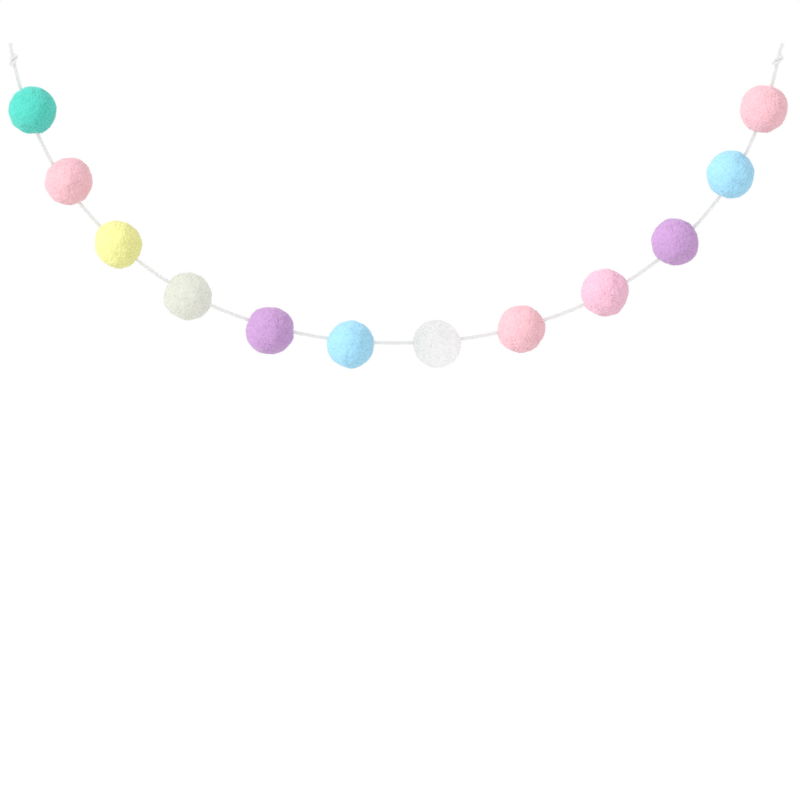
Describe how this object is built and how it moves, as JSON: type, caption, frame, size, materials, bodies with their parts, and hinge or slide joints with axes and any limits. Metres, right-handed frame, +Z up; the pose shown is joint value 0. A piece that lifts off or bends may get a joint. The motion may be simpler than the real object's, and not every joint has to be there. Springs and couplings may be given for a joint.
{
  "type": "felt ball garland",
  "caption": "Swag of round felted wool balls in pastel colours, threaded well apart on a white string with a knot at each end.",
  "frame": {"origin": "midway between the two held ends of the string, at the height of the hanging line", "axes": "+X along the swag from its left end to its right end, +Y from the front to the back, +Z up"},
  "size_m": [0.493, 0.0306, 0.2058],
  "materials": {
    "turquoise": "matt felted wool",
    "coral_pink": "matt felted wool",
    "yellow": "matt felted wool",
    "ivory": "matt felted wool",
    "lilac": "matt felted wool",
    "sky_blue": "matt felted wool",
    "white": "matt felted wool",
    "rose_pink": "matt felted wool",
    "string": "matt plied cotton"
  },
  "bodies": {
    "root": {"ball_01": "turquoise", "ball_02": "coral_pink", "ball_03": "yellow", "ball_04": "ivory", "ball_05": "lilac", "ball_06": "sky_blue", "ball_07": "white", "ball_08": "coral_pink", "ball_09": "rose_pink", "ball_10": "lilac", "ball_11": "sky_blue", "ball_12": "coral_pink", "string": "string", "string_knot_left": "string", "string_knot_right": "string"}
  },
  "joints": []
}
